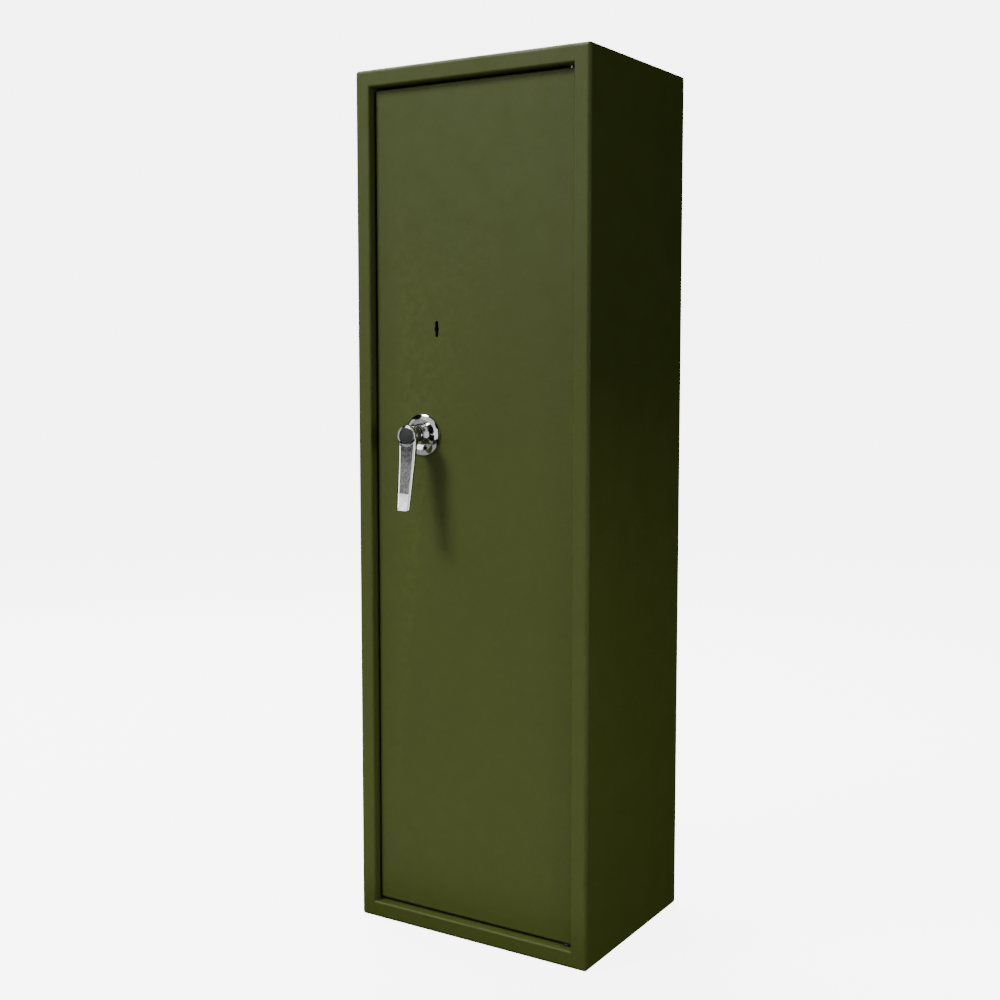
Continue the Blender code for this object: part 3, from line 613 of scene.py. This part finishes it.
lever_low = cad_box("handle_lever")[0]
hub_front = centre_of("handle_cap").y - 0.65
door_face = door_low.y
LEVER_LENGTH = handle_z - lever_low.z
LEVER_FLARE = hub_front - lever_low.y  # how far the tip stands ahead of the hub
HUB_R = 15.75
TIP_HALF_WIDTH = 11.0
TIP_R = 1.4
RIM = 3.0  # width of the sloping rim on each side of the sunk panel
RIM_SLOPE = 0.34
ARM_STEP = 0.9  # how far the arm lies behind the hub's ring where they meet
PANEL_DEPTH = 1.1
PAINTED_REFLECTION_SHARE = 0.78  # how far down the sunk panel the darker plating with painted dark reflection shows
NECK_R = 14.6
NECK_STEP = 16.0  # behind the hub's front, where the neck's satin part meets its rings
NECK_RING = 4.6  # from one ring to the next
SPINDLE_SOCKET_R = 6.3
SPINDLE_SOCKET_DEPTH = 21.0
SOCKET_R = 12.6  # the recess for the disc in the hub's front


def smooth_step(value, low, high):
    t = min(max((value - low) / (high - low), 0.0), 1.0)
    return t * t * (3 - 2 * t)


def arm_half_width(drop):
    """Half the arm's width at a distance below its axis."""
    return HUB_R - (HUB_R - TIP_HALF_WIDTH) * drop / LEVER_LENGTH


def lever_section(drop):
    """One loop round the lever at a distance below its axis: a raised rim about a sunken panel."""
    half = arm_half_width(drop) if drop >= 0 else math.sqrt(max(HUB_R**2 - drop**2, 0.6))
    into_tip = drop - (LEVER_LENGTH - TIP_R)
    if into_tip > 0:
        half -= TIP_R - math.sqrt(max(TIP_R**2 - into_tip**2, 0.0))
    reach = max(drop - HUB_R, 0) / (LEVER_LENGTH - HUB_R)
    front = hub_front - LEVER_FLARE * (0.6 * reach + 0.4 * reach**2)
    front += ARM_STEP * (1 - smooth_step(drop, HUB_R, HUB_R + 70.0))
    thickness = 8.0 - 3.2 * max(drop, 0) / LEVER_LENGTH
    sunk = PANEL_DEPTH * smooth_step(drop, 2.0, 6.0)
    sunk *= 1 - smooth_step(drop, LEVER_LENGTH - RIM - 0.9, LEVER_LENGTH - RIM)
    rim = min(RIM, half * 0.55)
    back = front + thickness
    edge = front + rim * RIM_SLOPE
    side = [(half, back - 2.0), (half, edge + 1.0), (half - 0.1, edge + 0.5), (half - 0.5, edge)]
    side += [(half - rim * 0.6, front + rim * RIM_SLOPE * 0.5), (half - rim, front + 0.1)]
    side += [(half - rim - 0.15, front + 0.25), (half - rim - 0.5, front + 0.25 + sunk)]
    under = [(half - 0.6, back - 0.6), (half - 2.4, back)]
    if half < 4:
        under = [(half * 0.8, back - 0.3), (half * 0.5, back)]
    loop = side + [(-x, y) for x, y in reversed(side)]
    loop += [(-x, y) for x, y in under] + list(reversed(under))
    return [(handle_x + x, y, handle_z - drop) for x, y in loop]


def lever_neck():
    """Half the outline of the neck: a plain satin part, two rings, and a bright part in the rose."""
    start = hub_front + 6.5
    end = door_face - 1.0
    step = hub_front + NECK_STEP
    socket_end = end - SPINDLE_SOCKET_DEPTH
    profile = [(0, start), (NECK_R, start), (NECK_R, step)]
    ring = ((0.9, 0.2), (0.9, 1.2), (0.1, 1.9), (0.0, 2.6), (0.1, 3.4), (0.5, 4.2))
    for ring_y in (step, step + NECK_RING):
        profile += [(NECK_R - inset, ring_y + back) for inset, back in ring]
    profile += [(13.9, step + 10.2), (13.9, end - 0.4), (13.5, end)]
    profile += [(SPINDLE_SOCKET_R, end), (SPINDLE_SOCKET_R, socket_end), (0, socket_end)]
    return profile


def arm_drops():
    """Where the arm's sections lie, from the hub's top down to the tip's rounded end."""
    fine_end = 18.0
    panel_end = LEVER_LENGTH - RIM - 1.4
    drops = [-HUB_R * math.cos(math.pi / 2 * i / 14) for i in range(14)]
    drops += [1.0 * i for i in range(18)]
    drops += [fine_end + (panel_end - fine_end) * i / 30 for i in range(31)]
    drops += [LEVER_LENGTH - RIM - 0.9 + 0.3 * i for i in range(4)]
    drops += [LEVER_LENGTH - TIP_R + TIP_R * math.sin(math.pi / 2 * i / 5) for i in range(6)]
    return drops


def lever_hub():
    """Half the outline of the round hub, whose front slopes back to its edge as a bright ring."""
    back = hub_front + 6.7
    edge = HUB_R - 0.05
    profile = [(0, back), (HUB_R - 1.6, back), (edge, back - 1.2), (edge, hub_front + 1.3)]
    profile += [(edge - 0.15, hub_front + 0.8), (15.2, hub_front + 0.6), (13.9, hub_front + 0.3)]
    profile += [(12.5, hub_front + 0.02), (0, hub_front + 0.02)]
    return profile


def make_lever():
    """The cast lever with its ringed neck, the round hub and the dark disc set in its front."""
    arm = loft([lever_section(drop) for drop in arm_drops()])
    lever = finish_mesh("lever_handle", arm, chrome, "handle", ("handle_lever",))
    centre = (handle_x, handle_z)
    combine(lever, [turned(lever_neck(), "y", centre, 96), turned(lever_hub(), "y", centre, 96)], "UNION")
    seat = hub_front + 1.5
    socket = [(0, hub_front - 10), (SOCKET_R, hub_front - 10), (SOCKET_R, hub_front - 0.02)]
    socket += [(SOCKET_R - 0.4, hub_front + 0.3), (SOCKET_R - 0.5, seat), (0, seat)]
    combine(lever, [turned(socket, "y", centre, 96)])
    # the upper sunk panel takes the plating with painted dark reflection
    paint_faces(lever, panel_painted_reflection, in_lever_panel)
    paint_faces(lever, satin, on_plain_neck)
    lever.data.shade_smooth()
    lever.data.set_sharp_from_angle(angle=math.radians(28))

    front = hub_front + 0.6
    cap = [(0, seat - 0.2), (11.7, seat - 0.2), (11.9, front + 0.4), (11.7, front + 0.12), (11.3, front)]
    cap += [(10.7, front + 0.05), (10.5, front + 0.2), (10.2, front + 0.2), (9.9, front + 0.06), (0, front)]
    disc = turned(cap, "y", centre, 96)
    finish_mesh("hub_disc", disc, cap_black, "handle", ("handle_cap",), 30)


def in_lever_panel(centre, normal):
    """The sunk panel's faces, below the hub and between the rims."""
    drop = handle_z - centre.z
    between_ends = 5.0 < drop < PAINTED_REFLECTION_SHARE * LEVER_LENGTH and from_axis(centre) > HUB_R + 0.2
    between_rims = abs(centre.x - handle_x) < arm_half_width(drop) - RIM - 0.3
    return normal.y < -0.7 and between_ends and between_rims


def on_plain_neck(centre, normal):
    """The turned faces between the hub and the rings."""
    plain = hub_front + 6.0 < centre.y < hub_front + NECK_STEP
    return plain and abs(from_axis(centre) - NECK_R) < 0.3 and abs(normal.y) < 0.2


def from_axis(point):
    """A point's distance from the handle's axis."""
    return math.hypot(point.x - handle_x, point.z - handle_z)


def make_rose():
    """The round plate behind the lever: a bevelled band round a hollow dish."""
    seat = door_face - 0.3
    edge_r = 31.0
    bore_r = 14.6
    bevelled = ((31.0, 3.4), (30.8, 2.9), (30.3, 2.45), (27.2, 1.25), (24.2, 0.15), (23.6, 0.0))
    dished = ((23.0, 0.2), (22.7, 0.6), (22.6, 1.0), (19.0, 2.0), (15.6, 2.9), (bore_r, 2.9))
    profile = [(bore_r, seat), (edge_r, seat)]
    profile += [(radius, rose_low.y + back) for radius, back in bevelled + dished]
    mesh = turned(profile, "y", (handle_x, handle_z), 120)
    finish_mesh("handle_rose_plate", mesh, chrome, "door", ("handle_rose",), 24)


# ---------------------------------------------------------------- bolts, pins, screws and plugs


def make_side_bolts():
    """Turned bolts with a chamfered nose and a shoulder groove."""
    for i in range(1, 4):
        low, high = cad_box(f"side_bolt_{i}")
        radius = (high.z - low.z) / 2
        centre = ((low.y + high.y) / 2, (low.z + high.z) / 2)
        nose = low.x
        profile = [(0, nose), (radius - 2.4, nose), (radius - 2.0, nose + 0.1), (radius - 0.3, nose + 1.7)]
        profile += [(radius, nose + 2.1), (radius, high.x - 8), (radius - 0.5, high.x - 7.6)]
        profile += [(radius - 0.5, high.x - 6.4), (radius, high.x - 6), (radius, high.x), (0, high.x)]
        mesh = turned(profile, "x", centre, 64)
        nodes = (f"side_bolt_{i}",)
        finish_mesh(f"bolt_rod_{i}", mesh, steel_long, "bolts", nodes, 30)


def make_hinge_pins():
    """Turned pins with chamfered ends, and the washer that the door's foot stands on."""
    for end in ("upper", "lower"):
        low, high = cad_box(end + "_hinge_pin")
        radius = (high.x - low.x) / 2
        profile = [(0, low.z), (radius - 0.8, low.z), (radius, low.z + 0.8), (radius, high.z - 0.8)]
        profile += [(radius - 0.8, high.z), (0, high.z)]
        mesh = turned(profile, "z", hinge_place, 48)
        nodes = (end + "_hinge_pin",)
        finish_mesh(end + "_turned_pin", mesh, steel_upright, "door", nodes, 30)
    low, high = cad_box("hinge_thrust_washer")
    radius = (high.x - low.x) / 2
    profile = [(4.4, low.z), (radius - 0.5, low.z), (radius, low.z + 0.5), (radius, high.z - 0.5)]
    profile += [(radius - 0.5, high.z), (4.4, high.z)]
    mesh = turned(profile, "z", hinge_place, 48)
    nodes = ("hinge_thrust_washer",)
    finish_mesh("thrust_washer_ring", mesh, plastic, "root", nodes, 30)


def cross_cutter(centre, surface, size, outward):
    """Two crossed tapering slots, for a screw's recess."""
    cutters = []
    for wide, narrow in ((size, size * 0.24), (size * 0.24, size)):
        sections = []
        for depth, scale in ((-0.5, 1.05), (size * 0.75, 0.45)):
            y = surface - outward * depth
            corners = [(-wide, -narrow), (wide, -narrow), (wide, narrow), (-wide, narrow)]
            sections.append([(centre[0] + u * scale, y, centre[1] + v * scale) for u, v in corners])
        cutters.append(loft(sections))
    return cutters


def make_pan_screw(node, name, body, outward):
    """A domed screw head with a cross recess, its shank running into the piece that it holds."""
    low, high = cad_box(node)
    radius = (high.x - low.x) / 2
    centre = ((low.x + high.x) / 2, (low.z + high.z) / 2)
    top = high.y if outward > 0 else low.y
    tail = low.y if outward > 0 else high.y
    seat = top - outward * 1.9
    dome = [(0.0, 0.0), (0.45, 0.05), (0.75, 0.25), (0.92, 0.6), (1.0, 1.3)]
    profile = [(radius * share, top - outward * drop) for share, drop in dome]
    profile += [(radius, seat)]
    if abs(tail - seat) > 1.0:
        profile += [(1.9, seat), (1.9, tail)]
    profile += [(0, profile[-1][1])]
    screw = finish_mesh(name, turned(profile, "y", centre, 48), zinc_round, body, (node,), 30)
    combine(screw, cross_cutter(centre, top, radius * 0.52, outward))


def make_plug(node, name, axis, inward):
    """A push-in plug: a domed head inside and a shank with its mould hollow seen from outside."""
    low, high = cad_box(node)
    centre = centre_of(node)
    place = (centre.x, centre.z) if axis == "y" else (centre.x, centre.y)
    start, end = (low.y, high.y) if axis == "y" else (low.z, high.z)
    head, foot = (start, end) if inward < 0 else (end, start)
    step = -inward
    profile = [(0, head), (3.5, head + step * 0.08), (6.0, head + step * 0.4), (7.2, head + step * 0.9)]
    profile += [(7.5, head + step * 1.5), (7.5, head + step * 1.8), (4.7, head + step * 1.8)]
    profile += [(4.7, foot - step * 0.4), (4.3, foot), (2.6, foot), (2.3, foot - step * 1.0)]
    profile += [(0, foot - step * 1.1)]
    mesh = turned(profile, axis, place, 56)
    finish_mesh(name, mesh, plastic, "root", (node,), 32)


def make_small_parts():
    for i in range(1, 5):
        make_pan_screw(f"cover_screw_{i}", f"cover_pan_screw_{i}", "door", 1)
        make_plug(f"back_anchor_plug_{i}", f"back_plug_{i}", "y", -1)
    for i in range(1, 3):
        make_pan_screw(f"barrel_rest_screw_{i}", f"rest_pan_screw_{i}", "root", -1)
        make_plug(f"floor_anchor_plug_{i}", f"floor_plug_{i}", "z", 1)


# ---------------------------------------------------------------- fittings inside

NOTCHES = (-140.0, -70.0, 0.0, 70.0, 140.0)
NOTCH_R = 16.0


def make_rest_foam():
    """The foam comb: rounded notches and softened edges all over."""
    low, high = cad_box("barrel_rest_foam")
    inset = 0.4
    corner = 2.0
    front = low.y + inset
    outline = arc((low.x + inset + corner, high.y - inset - corner), corner, 180, 90, 5)
    outline += arc((high.x - inset - corner, high.y - inset - corner), corner, 90, 0, 5)
    outline.append((high.x - inset, front))
    for x in reversed(NOTCHES):
        radius = NOTCH_R + inset
        outline.append((x + radius, front))
        outline += arc((x, low.y + NOTCH_R), radius, 0, 180, 20)
        outline.append((x - radius, front))
    outline.append((low.x + inset, front))
    mesh = loft([[(x, y, z) for x, y in outline] for z in (low.z + 0.1, high.z - 0.2)])
    caps = [f for f in mesh.faces if len(f.verts) > 4]
    rims = {edge for face in caps for edge in face.edges}
    bmesh.ops.bevel(mesh, geom=list(rims), offset=1.2, segments=4, profile=0.5, affect="EDGES")
    comb = finish_mesh("rest_foam_comb", mesh, foam, "root", ("barrel_rest_foam",), 40)


def make_floor_mat():
    """A felt mat, softly uneven, with its corners cut round and holes over the floor plugs."""
    low, high = cad_box("floor_mat")
    middle_z = (low.z + high.z) / 2
    edge = ((1.2, low.z), (0.2, low.z + 1.0), (0.0, middle_z), (0.5, high.z - 0.9), (1.8, high.z))
    sections = []
    for inset, z in edge:
        edges = (low.x + inset, high.x - inset, low.y + inset, high.y - inset)
        sections.append([(x, y, z) for x, _, y in rounded_rectangle(*edges, 8.0 - inset, 0.0)])
    mat = finish_mesh("felt_floor_mat", loft(sections), felt, "root", ("floor_mat",), 60)
    holes = []
    for i in range(1, 3):
        plug = centre_of(f"floor_anchor_plug_{i}")
        profile = [(0, low.z - 1), (9.0, low.z - 1), (9.0, high.z - 0.8), (10.2, high.z + 0.4)]
        profile.append((0, high.z + 0.4))
        holes.append(turned(profile, "z", (plug.x, plug.y), 40))
    combine(mat, holes)
    weight_normals(mat)


def dress_cad_nodes():
    """The CAD pieces whose shape is right keep it and take a detailed material."""
    finishes = {
        coat: ("upper_hinge_block", "lower_hinge_block", "barrel_rest", "top_shelf",
               "left_shelf_bracket", "right_shelf_bracket"),
        zinc_tall: ("bolt_guide_channel", "hinge_dead_bar", "door_stiffener", "bolt_bar", "lock_case",
                    "lock_cover", "upper_pin_carrier", "lower_pin_carrier"),
        zinc_round: ("cover_post_1", "cover_post_2", "cover_post_3", "cover_post_4", "handle_bush",
                     "handle_nut", "cam_disc", "cam_screw", "drive_arm", "lock_tab"),
        steel_upright: ("spindle", "cam_drive_pin", "lock_bolt"),
    }
    for material, names in finishes.items():
        for name in names:
            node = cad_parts[name]
            node.data.materials.clear()
            node.data.materials.append(material)


make_cabinet()
make_weld_beads()
make_door()
make_cover()
make_lever()
make_rose()
make_side_bolts()
make_hinge_pins()
make_small_parts()
make_rest_foam()
make_floor_mat()
dress_cad_nodes()


# ---------------------------------------------------------------- studio

SURROUND_STRENGTH = 6.0  # of the white surround and floor, which only the camera sees


def aim(obj, target):
    direction = Vector(target) - obj.location
    obj.rotation_euler = direction.to_track_quat("-Z", "Y").to_euler()


def make_camera():
    """Stands to the right of the door, above the cabinet's middle, and looks slightly down."""
    data = bpy.data.cameras.new("camera")
    data.sensor_width = 36.0
    data.lens = 50.02
    data.shift_y = -0.03
    camera = bpy.data.objects.new("camera", data)
    bpy.context.scene.collection.objects.link(camera)
    camera.location = (1.1063, -1.8342, 0.8891)
    yaw = 0.5576
    pitch = -0.0882
    camera.rotation_euler = (math.pi / 2 + pitch, 0.0, yaw)
    bpy.context.scene.camera = camera


def area_light(name, place, target, size, power):
    """A soft rectangular light; size is its width and height in metres."""
    data = bpy.data.lights.new(name, "AREA")
    data.shape = "RECTANGLE"
    data.size, data.size_y = size
    data.energy = power
    light = bpy.data.objects.new(name, data)
    bpy.context.scene.collection.objects.link(light)
    light.location = place
    light.visible_camera = False
    aim(light, target)


def make_lights():
    """A soft key from the upper left, cards for the chrome to mirror, and weaker fills elsewhere."""
    middle = (0.0, -0.1, 0.7)
    handle = (-0.09, -0.18, 0.7)
    area_light("key", (-2.96, -3.98, 5.8), middle, (1.7, 1.7), 310.0)
    area_light("lever_card", (-2.0, -3.3, 1.66), handle, (1.0, 1.1), 8.0)
    area_light("ring_card", (-3.06, -1.63, 0.95), handle, (1.2, 2.0), 5.0)
    area_light("neck_card", (-0.9, -2.9, 2.25), handle, (2.6, 1.6), 10.0)
    area_light("rim_card", (0.35, -3.4, 0.8), handle, (1.4, 1.5), 8.0)
    area_light("front_left_wall", (-2.2, -3.6, 0.6), middle, (3.0, 1.6), 3.0)
    area_light("front_floor", (-0.75, -1.0, 0.03), (-0.75, -1.0, 3.0), (2.0, 1.6), 4.0)
    area_light("overhead", (-1.2, 0.1, 2.9), (0.0, -0.1, 1.3), (1.2, 1.2), 30.0)
    area_light("left_side", (-2.8, 0.3, 1.2), middle, (1.2, 2.2), 24.0)
    area_light("behind", (-1.4, 1.5, 2.9), (0.0, -0.1, 1.3), (1.6, 1.6), 110.0)
    area_light("right_front_card", (3.0, -0.8, 1.0), middle, (0.5, 1.4), 16.0)
    area_light("right_low", (1.2, -0.6, 0.8), (1.15, -0.6, 0.0), (0.8, 0.6), 7.0)


def make_floor():
    """A large pale floor that doesn't throw its own light back on the object."""
    mesh = bmesh.new()
    bmesh.ops.create_grid(mesh, x_segments=1, y_segments=1, size=30.0)
    data = bpy.data.meshes.new("studio_floor")
    mesh.to_mesh(data)
    mesh.free()
    made = Material("pale_floor", (0.9, 0.9, 0.9), 0.0, 0.95, Emission_Strength=SURROUND_STRENGTH)
    made.shader.inputs["Emission Color"].default_value = (1.0, 1.0, 1.0, 1.0)
    made.tint(made.remap(made.noise(900, 2), 0.3, 0.7, 0.0, 0.4), (0.87, 0.87, 0.87))
    data.materials.append(made.material)
    floor = bpy.data.objects.new("studio_floor", data)
    bpy.context.scene.collection.objects.link(floor)
    floor.location.z = -0.0006
    floor.visible_diffuse = False
    floor.visible_glossy = False


def make_world():
    """A white surround that is seen, but doesn't light the object."""
    world = bpy.data.worlds.new("studio")
    world.use_nodes = True
    background = world.node_tree.nodes["Background"]
    background.inputs["Color"].default_value = (1.0, 1.0, 1.0, 1.0)
    background.inputs["Strength"].default_value = SURROUND_STRENGTH
    world.cycles_visibility.diffuse = False
    world.cycles_visibility.glossy = False
    bpy.context.scene.world = world


make_camera()
make_floor()
make_world()
make_lights()
